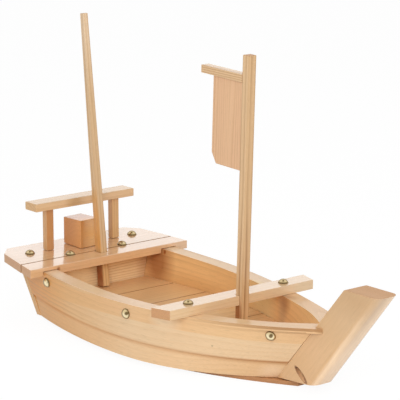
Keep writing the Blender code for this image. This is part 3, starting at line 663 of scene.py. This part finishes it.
for side in ("starboard", "port"):
    plank = takeNode("upper_plank_" + side, curved=True)
    easeEdges(plank, hullSides["rimEdge"], onRim, sharp=40)
    easeEdges(plank, hullSides["lapEdge"], onLap, sharp=50, segments=3)
    smoothOut(plank)
    plankLook = {**hullSides["plankPine"], **hullSides["own"][side]}
    plankPine = pineFinish("upper_plank_pine_" + side, **plankLook)
    dress(plank, "hull", "pine_hull", plankPine, "upper_plank_" + side)
    strake = takeNode("lower_strake_" + side, curved=True)
    easeEdges(strake, hullSides["strakeEdge"], sharp=50)
    smoothOut(strake)
    strakePine = pineFinish("lower_strake_pine_" + side, **hullSides["strakePine"])
    dress(strake, "hull", "pine_hull", strakePine, "lower_strake_" + side)

transom = {
    "nodes": ["transom_board"], "slot": "pine_hull", "edge": 0.0007,
    "pine": {"grain": "y", "pith": (-0.24, -0.03), "ring": 0.0045, "sawnShare": 0.15},
}
makeBoard(transom)
bulkhead = {
    "nodes": ["aft_bulkhead"], "slot": "pine_inner", "edge": 0.0005,
    "pine": {"tone": "pale", "grain": "y", "pith": (0.20, -0.15), "ring": 0.0028, "ringDepth": 0.85,
             # front face paler: painted light under the deck
             "front": (0.880, 0.660, 0.380),
             # painted shade in the inner corners where the bulkhead meets the planks
             "toneAndLightPatches": (((-0.197, 0.068, 0.045), (0.020, 0.018, 0.060), 0.45, cornerShadeRed),
                        ((-0.197, -0.068, 0.045), (0.020, 0.018, 0.060), 0.45, cornerShadeRed),
                        # painted light on the bulkhead under the deck
                        ((-0.197, -0.030, 0.049), (0.010, 0.032, 0.030), 0.90, (0.950, 0.730, 0.425)))},
}
makeBoard(bulkhead)
stem = {
    "nodes": ["stem"], "slot": "pine_hull", "edge": 0.0006,
    "pine": {"tone": "plank", "level": 0.94, "grain": "stem", "pith": (-0.030, -0.13), "ring": 0.0052,
             "ringDepth": 0.18, "fleck": 0.05,
             # the front colour is a painted reflection of the floor on the rounded nose
             "drifts": ((2, 0.045, 0.105, (0.620, 0.395, 0.198)),), "front": (0.960, 0.700, 0.460),
             # darker over the upper front, holding back the painted reflection there
             "toneAndLightPatches": (((0.2620, -0.0080, 0.1180), (0.100, 0.014, 0.100), 1.0, (0.700, 0.475, 0.280)),
                        ((0.1440, -0.0146, 0.0260), (0.035, 0.010, 0.030), 0.50, (0.700, 0.440, 0.215)),
                        ((0.2330, -0.0146, 0.1140), (0.045, 0.006, 0.032), 0.60, (0.560, 0.340, 0.165))),
             "pocket": ((0.15466, -0.0146, 0.0163), (-0.7593, 0.2857, 0.5847), 0.0028)},
}
makeBoard(stem)
floorBoards = {
    "count": 6, "slot": "pine_inner", "edge": 0.0007, "seam": (0.0010, 0.42),
    "pine": {"tone": "warm", "level": 1.12, "grain": "y", "pith": (0.03, -0.012), "ring": 0.0050,
             "ringDepth": 0.50, "wander": 0.008, "ends": 0.9,
             # painted light across the floor of the well
             "toneAndLightPatches": (((-0.0270, 0.0260, 0.0310), (0.028, 0.075, 0.020), 0.32, (0.840, 0.600, 0.330)),)},
}
for number in range(1, floorBoards["count"] + 1):
    nodeName = "floor_board_%d" % number
    seams = tuple((corner[0], *floorBoards["seam"]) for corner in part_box(nodeName))
    makeBoard({**floorBoards, "nodes": [nodeName], "pine": {**floorBoards["pine"], "joints": seams}})
print("hull dressed")

# deck, rail and cabin

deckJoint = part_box("deck_front_plank")[0][0]
deckGap = 0.0012
deckPlanks = {
    "nodes": ["deck_aft_plank", "deck_front_plank"], "slot": "pine_deck", "edge": 0.0007,
    "pine": {"tone": "deck", "grain": "y", "pith": (0.20, 0.030), "ring": 0.0048, "ringDepth": 0.40,
             "rough": 0.25, "specular": 0.3, "coat": 1.0, "coatIndex": 1.85, "coatRough": 0.10,
             "joints": ((deckJoint - deckGap / 2, deckGap, 0.85),),
             # painted shade in the gaps at the notches over the rims
             "toneAndLightPatches": (((-0.1750, -0.0708, 0.0652), (0.0035, 0.003, 0.0035), 0.9, notchShade),
                        ((-0.1720, 0.0723, 0.0640), (0.004, 0.003, 0.004), 0.9, notchShade),
                        ((-0.2220, -0.1000, 0.0685), (0.030, 0.006, 0.006), 0.60, (0.660, 0.330, 0.170)),
                        ((-0.2420, -0.0750, 0.0740), (0.040, 0.040, 0.004), 0.30, (0.900, 0.690, 0.540)),
                        ((-0.1920, 0.0600, 0.0715), (0.024, 0.050, 0.006), 0.50, (0.590, 0.350, 0.165)))},
}
makeBoard(deckPlanks)
railPosts = {
    "slot": "pine_inner", "edge": 0.0006,
    "pine": {"tone": "warm", "grain": "z", "pith": (-0.20, 0.03), "ring": 0.0030},
    # colours of the bow-facing faces: painted light and shade
    "fronts": {"starboard": (0.560, 0.275, 0.110), "port": (0.700, 0.430, 0.195)},
}
for side, front in railPosts["fronts"].items():
    makeBoard({**railPosts, "nodes": ["rail_post_" + side], "pine": {**railPosts["pine"], "front": front}})
sternRail = {
    "nodes": ["stern_rail"], "slot": "pine_deck", "edge": 0.0008,
    "pine": {"tone": "pale", "level": 0.93, "grain": "y", "pith": (0.25, 0.09), "ring": 0.0040, "coat": 0.8,
             "sawnShare": 0.15,
             # painted shade of the rear mast on the rail
             "toneAndLightPatches": (((-0.2220, -0.0130, 0.1220), (0.012, 0.018, 0.012), 0.55, (0.440, 0.260, 0.120)),)},
}
makeBoard(sternRail)
cabin = {
    "nodes": ["cabin_block"], "slot": "pine_inner", "edge": 0.0009,
    "pine": {"tone": "rosy", "grain": "y", "pith": (0.21, 0.05), "ring": 0.0050, "ringDepth": 0.30,
             "drifts": ((0, -0.228, -0.243, (0.600, 0.265, 0.097)),
                        (0, -0.228, -0.214, (0.770, 0.380, 0.138))),
             "front": (0.525, 0.240, 0.081),
             "toneAndLightPatches": (((-0.2125, 0.0120, 0.0850), (0.010, 0.026, 0.040), 0.95, (0.850, 0.500, 0.190)),),
             "sawnShare": 0.2, "coat": 1.0, "coatIndex": 1.62},
}
makeBoard(cabin)
print("deck dressed")

# crossbeam and masts

crossbeam = {
    "nodes": ["crossbeam"], "slot": "pine_deck", "edge": 0.0007,
    "pine": {"tone": "pale", "grain": "y", "pith": (-0.06, 0.03), "ring": 0.0040, "ringDepth": 0.40,
             "front": (0.745, 0.532, 0.318), "sawnShare": 1.0,
             "coat": 1.0, "coatIndex": 1.54, "coatRough": 0.12},
}
makeBoard(crossbeam)
frontMast = {
    "nodes": ["front_mast"], "slot": "pine_hull", "edge": 0.0006,
    "pine": {"tone": "mast", "grain": "frontMast", "pith": (0.050, 0.0), "ring": 0.0034, "wander": 0.003,
             "ringDepth": 0.80, "ringDrift": (2, 0.16, 0.06, 0.90), "front": (0.660, 0.430, 0.225),
             # painted shade on the foot's starboard face under the crossbeam
             "toneAndLightPatches": (((0.0455, -0.0064, 0.0520), (0.013, 0.0042, 0.020), 0.9, (0.330, 0.120, 0.035)),)},
}
makeBoard(frontMast, "front_mast")
sailYard = {
    "nodes": ["sail_yard"], "slot": "pine_hull", "edge": 0.0005,
    "pine": {"tone": "mast", "level": 1.03, "grain": "yard", "pith": (0.0, 0.18), "ring": 0.0026,
             "ringDepth": 0.85, "wander": 0.003, "uneven": 4.0},
}
makeBoard(sailYard, "front_mast")
sailBoard = {
    "nodes": ["sail_board"], "slot": "pine_hull", "edge": 0.0005,
    "pine": {"tone": "sail", "grain": "frontMast", "pith": (0.01, 0.12), "ring": 0.0034,
             "ringDepth": 0.6, "wander": 0.004, "uneven": 8.0},
}
makeBoard(sailBoard, "front_mast")
rearMast = {
    "nodes": ["rear_mast"], "slot": "pine_hull", "edge": 0.0006,
    "pine": {"tone": "amber", "grain": "rearMast", "pith": (0.02, 0.20), "ring": 0.0029,
             "ringDepth": 1.1, "wander": 0.004,
             "drifts": ((2, 0.150, 0.115, (0.695, 0.340, 0.092)),
                        (1, -0.0042, -0.0026, (0.640, 0.440, 0.245)),
                        # paler at the top, a painted sheen
                        (2, 0.24, 0.31, (0.760, 0.560, 0.365)),
                        # lighter at the foot under the deck, painted light
                        (2, 0.078, 0.066, (0.690, 0.440, 0.205))),
             # painted shade on the foot's starboard face under the deck
             "toneAndLightPatches": (((-0.1900, -0.0062, 0.0460), (0.020, 0.0040, 0.034), 0.95, (0.250, 0.052, 0.007)),)},
}
makeBoard(rearMast, "rear_mast")
print("masts dressed")

# brass tacks

tack = {
    "radius": 0.0054, "dome": 0.0037, "rim": 0.0003, "shank": 0.0011, "length": 0.013, "point": 0.2,
    "edge": 0.00015, "edgeSlack": 0.0001, "edgeInner": 0.004, "segments": 40, "rings": 36,
    "smooth": 50, "dullRim": (0.84, 0.12), "spotBlur": 0.14,
    # dull spot on each dome: its place and size in radii
    "spots": {
        "side_tack_stern": ((0.80, 0, 0.20), 0.20), "side_tack_mid": ((0.64, 0, 0.25), 0.42),
        "side_tack_bow": ((0.32, 0, 0.35), 0.42),
        "deck": ((0.50, -0.41, 0), 0.26), "beam": ((0.50, -0.41, 0), 0.26),
    },
}


def selectByHeight(piece, low, high):
    bpy.ops.object.mode_set(mode="OBJECT")
    clearSelection(piece.data)
    for vertex in piece.data.vertices:
        vertex.select = low <= vertex.co.z <= high
    bpy.ops.object.mode_set(mode="EDIT")
    bpy.context.tool_settings.mesh_select_mode = (True, False, False)
    bpy.ops.mesh.select_mode(type="VERT")


def drawOut(length):
    bpy.ops.mesh.extrude_region_move(TRANSFORM_OT_translate={"value": (0, 0, length)})


def closePoint():
    # draw the open end to a point and weld the mesh
    bpy.ops.mesh.merge(type="CENTER")
    bpy.ops.mesh.select_all(action="SELECT")
    bpy.ops.mesh.remove_doubles(threshold=meshing["pointWeld"])
    bpy.ops.mesh.normals_make_consistent(inside=False)
    bpy.ops.object.mode_set(mode="OBJECT")


def setCopy(model, nodeName, start, along):
    # a copy with its own mesh, its origin at start and its z axis along the given way
    copy = model.copy()
    copy.data = model.data.copy()
    copy.name = nodeName + "_piece"
    bpy.context.collection.objects.link(copy)
    copy.data.transform(Matrix.Translation(start) @ along.to_track_quat("Z", "Y").to_matrix().to_4x4())
    return copy


def onTackRim(middle):
    slack = tack["edgeSlack"]
    return -slack < middle.z < tack["rim"] + slack and middle.xy.length > tack["edgeInner"]


def modelTack():
    # a shallow cap cut from a ball
    ball = (tack["radius"] ** 2 + tack["dome"] ** 2) / (2 * tack["dome"])
    deselectAll()
    bpy.ops.mesh.primitive_uv_sphere_add(segments=tack["segments"], ring_count=tack["rings"], radius=ball)
    piece = bpy.context.object
    bpy.ops.object.mode_set(mode="EDIT")
    bpy.ops.mesh.select_all(action="SELECT")
    bpy.ops.mesh.bisect(plane_co=(0, 0, ball - tack["dome"]), plane_no=(0, 0, 1), clear_inner=True)
    bpy.ops.mesh.select_all(action="SELECT")
    bpy.ops.transform.translate(value=(0, 0, tack["rim"] + tack["dome"] - ball))
    # turn the open edge down, close it and draw out the shank
    selectByHeight(piece, tack["rim"] - meshing["hair"], tack["rim"] + meshing["hair"])
    drawOut(-tack["rim"])
    shrink = tack["shank"] / tack["radius"]
    bpy.ops.mesh.extrude_region_move()
    bpy.ops.transform.resize(value=(shrink, shrink, 1), center_override=(0, 0, 0))
    drawOut(-tack["length"] * (1 - tack["point"]))
    drawOut(-tack["length"] * tack["point"])
    closePoint()
    easeEdges(piece, tack["edge"], onTackRim)
    makeActive(piece)
    bpy.ops.object.shade_smooth_by_angle(angle=math.radians(tack["smooth"]))
    return piece


def dullTackDome(piece, seat, out, lean, size):
    # dull rim, and a dull spot on the dome
    dulling = piece.data.attributes.new("rimward", "FLOAT", "POINT")
    rimStart, rimBlur = tack["dullRim"]
    for vertex in piece.data.vertices:
        spread = vertex.co - seat
        spread = (spread - out * spread.dot(out)) / tack["radius"]
        rim = min(1.0, max(0.0, (spread.length - rimStart) / rimBlur))
        dull = min(1.0, max(0.0, (size - (spread - Vector(lean)).length) / tack["spotBlur"]))
        dulling.data[vertex.index].value = max(rim, dull)


def crownAndTip(node):
    # the two points furthest apart, the wider end first
    points = [vertex.co for vertex in node.data.vertices]
    middle = sum(points, Vector()) / len(points)
    first = max(points, key=lambda point: (point - middle).length)
    second = max(points, key=lambda point: (point - first).length)

    def widthAt(end, other):
        along = (other - end).normalized()
        near = [point - end for point in points if (point - end).length < tack["radius"]]
        return max(offset.cross(along).length for offset in near)

    if widthAt(first, second) > widthAt(second, first):
        return first.copy(), second.copy()
    return second.copy(), first.copy()


def dullSpot(nodeName):
    return next(spot for start, spot in tack["spots"].items() if nodeName.startswith(start))


brass = brassFinish("tack_brass", brassLook)
tackModel = modelTack()
tackNodes = [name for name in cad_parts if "_tack_" in name]
for nodeName in sorted(tackNodes):
    crown, tip = crownAndTip(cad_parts[nodeName])
    out = (crown - tip).normalized()
    seat = crown - out * (tack["dome"] + tack["rim"])
    copy = setCopy(tackModel, nodeName, seat, out)
    dullTackDome(copy, seat, out, *dullSpot(nodeName))
    dress(copy, "hull", "brass_tack", brass, nodeName)
bpy.data.objects.remove(tackModel)
print("tacks driven:", len(tackNodes))

# stem screws

screw = {
    "head": 0.0025, "headLength": 0.0024, "shank": 0.00125, "length": 0.0115, "point": 0.002, "sides": 24,
    "steps": 14, "root": 0.8, "crest": 1.25,   # threads
    "slot": 0.0006, "slotDepth": 0.0009, "slotReach": 1.3, "backShare": 0.9, "smooth": 40,
}


def modelScrew():
    deselectAll()
    bpy.ops.mesh.primitive_cylinder_add(vertices=screw["sides"], radius=screw["head"],
                                        depth=screw["headLength"], location=(0, 0, screw["headLength"] / 2))
    piece = bpy.context.object
    bpy.ops.object.transform_apply(location=True)
    selectByHeight(piece, screw["headLength"] - meshing["hair"], 1)
    shrink = screw["shank"] / screw["head"]
    bpy.ops.mesh.extrude_region_move()
    bpy.ops.transform.resize(value=(shrink, shrink, 1), center_override=(0, 0, screw["headLength"]))
    # threads: the core steps in and out on its way to the point
    step = (screw["length"] - screw["point"]) / screw["steps"]
    for number in range(screw["steps"]):
        wide = screw["root"] if number % 2 == 0 else screw["crest"]
        drawOut(step)
        bpy.ops.transform.resize(value=(wide, wide, 1), center_override=(0, 0, 0))
    drawOut(screw["point"])
    closePoint()
    # cross recess in the head
    bladeSize = (screw["head"] * screw["slotReach"], screw["slot"], screw["slotDepth"] * 2)
    for turn in (0, math.pi / 2):
        deselectAll()
        bpy.ops.mesh.primitive_cube_add(size=1, rotation=(0, 0, turn), scale=bladeSize)
        blade = bpy.context.object
        recess = piece.modifiers.new("recess", "BOOLEAN")
        recess.object = blade
        recess.solver = "EXACT"
        makeActive(piece)
        bpy.ops.object.modifier_apply(modifier=recess.name)
        bpy.data.objects.remove(blade)
    bpy.ops.object.shade_smooth_by_angle(angle=math.radians(screw["smooth"]))
    return piece


steel = steelFinish("screw_steel", steelLook)
screwModel = modelScrew()
for nodeName in ("stem_screw_starboard", "stem_screw_port"):
    points = [vertex.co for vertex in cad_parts[nodeName].data.vertices]
    tip = max(points, key=lambda point: point.z).copy()
    reach = screw["length"] + screw["headLength"] * screw["backShare"]
    back = [point for point in points if (point - tip).length > reach]
    head = sum(back, Vector()) / len(back)
    along = (tip - head).normalized()
    start = tip - along * (screw["length"] + screw["headLength"])
    copy = setCopy(screwModel, nodeName, start, along)
    dress(copy, "hull", "screw_steel", steel, nodeName)
bpy.data.objects.remove(screwModel)
print("screws set")

# studio

studio = {
    "aim": (-0.0196, 0, 0.159), "azimuth": 50.885, "elevation": 12.728, "distance": 2.0654,
    "lens": 180, "sensor": 36, "farthest": 50, "lampAim": (0, 0, 0.08),
    "floorSize": 8, "floorColour": (0.86, 0.86, 0.86), "floorRough": 0.9, "floorGlow": 1.04, "glowShare": 0.9,
    "skyLight": 0.52, "backGlow": 0.46, "lensShade": 0.25, "lensDrop": 0.18,
    "keyEnergy": 4, "keySize": 1.6, "keyPlace": (0.3, 0.1, 1.6),
    "fillEnergy": 19, "fillSize": 1.0, "fillPlace": (1.3, -1.2, 0.9),
}


def viewDirection():
    turn = math.radians(studio["azimuth"])
    rise = math.radians(studio["elevation"])
    return Vector((math.sin(turn) * math.cos(rise), -math.cos(turn) * math.cos(rise), math.sin(rise)))


deselectAll()
toCamera = viewDirection()
aim = Vector(studio["aim"])
bpy.ops.object.camera_add(location=aim + toCamera * studio["distance"])
camera = bpy.context.object
camera.rotation_euler = toCamera.to_track_quat("Z", "Y").to_euler()
camera.data.lens = studio["lens"]
camera.data.sensor_width = studio["sensor"]
camera.data.clip_end = studio["farthest"]
bpy.context.scene.camera = camera

for lamp in ("key", "fill"):
    spot = Vector(studio[lamp + "Place"])
    bpy.ops.object.light_add(type="AREA", location=spot)
    light = bpy.context.object
    light.name = lamp + "Lamp"
    light.data.energy = studio[lamp + "Energy"]
    light.data.size = studio[lamp + "Size"]
    light.visible_glossy = False
    light.rotation_euler = (spot - Vector(studio["lampAim"])).to_track_quat("Z", "Y").to_euler()

# white floor; the camera and reflections see it nearly shadowless
bpy.ops.mesh.primitive_plane_add(size=studio["floorSize"], location=(0, 0, 0))
floor = bpy.context.object
floor.name = "studio_floor"
bpy.ops.object.transform_apply(location=True)
paper = Finish("studio_paper")
paper.feed(Base_Color=opaque(studio["floorColour"]), Roughness=studio["floorRough"])


def seenDirectly(graph):
    path = graph.node("LightPath").socket.node
    camera, glossy, through = [Wire(graph, path.outputs[name])
                               for name in ("Is Camera Ray", "Is Glossy Ray", "Is Transmission Ray")]
    return camera, glossy, camera.above(glossy).above(through)


seen = seenDirectly(paper)[2]
lit = Wire(paper, paper.shader.outputs[0])
glow = paper.node("Emission", sockets={"Strength": studio["floorGlow"]})
both = paper.node("MixShader", sockets={0: seen * studio["glowShare"], 1: lit, 2: glow})
paper.plug(paper.tree.nodes["Material Output"].inputs["Surface"], both)
floor.data.materials.append(paper.material)

world = bpy.data.worlds.new("studio_world")
bpy.context.scene.world = world
world.use_nodes = True
sky = Graph(world.node_tree)
cameraRay, glossyRay, _ = seenDirectly(sky)
heading = sky.node("TexCoord", out="Generated")
cameraward = sky.vector("DOT_PRODUCT", heading, toCamera, "Value")
toLens = (toCamera - Vector((0, 0, studio["lensDrop"]))).normalized()
lensward = sky.vector("DOT_PRODUCT", heading, toLens, "Value")
# reflections meet a bright backdrop behind the boat and a dark lens in front of it
lens = lensward.ramp((0.80, 0.0), (0.90, 1.0)) * studio["lensShade"]
behind = (0.0 - cameraward).ramp((0.50, 0.0), (0.85, 1.0)) * studio["backGlow"]
mirrored = 1 + behind - lens
strength = cameraRay + (1 - cameraRay) * (glossyRay * mirrored + (1 - glossyRay) * studio["skyLight"])
background = world.node_tree.nodes["Background"]
background.inputs["Color"].default_value = (1, 1, 1, 1)
sky.plug(background.inputs["Strength"], strength)

bpy.context.scene.view_settings.view_transform = "Standard"
print("studio lit")

bpy.context.view_layer.update()
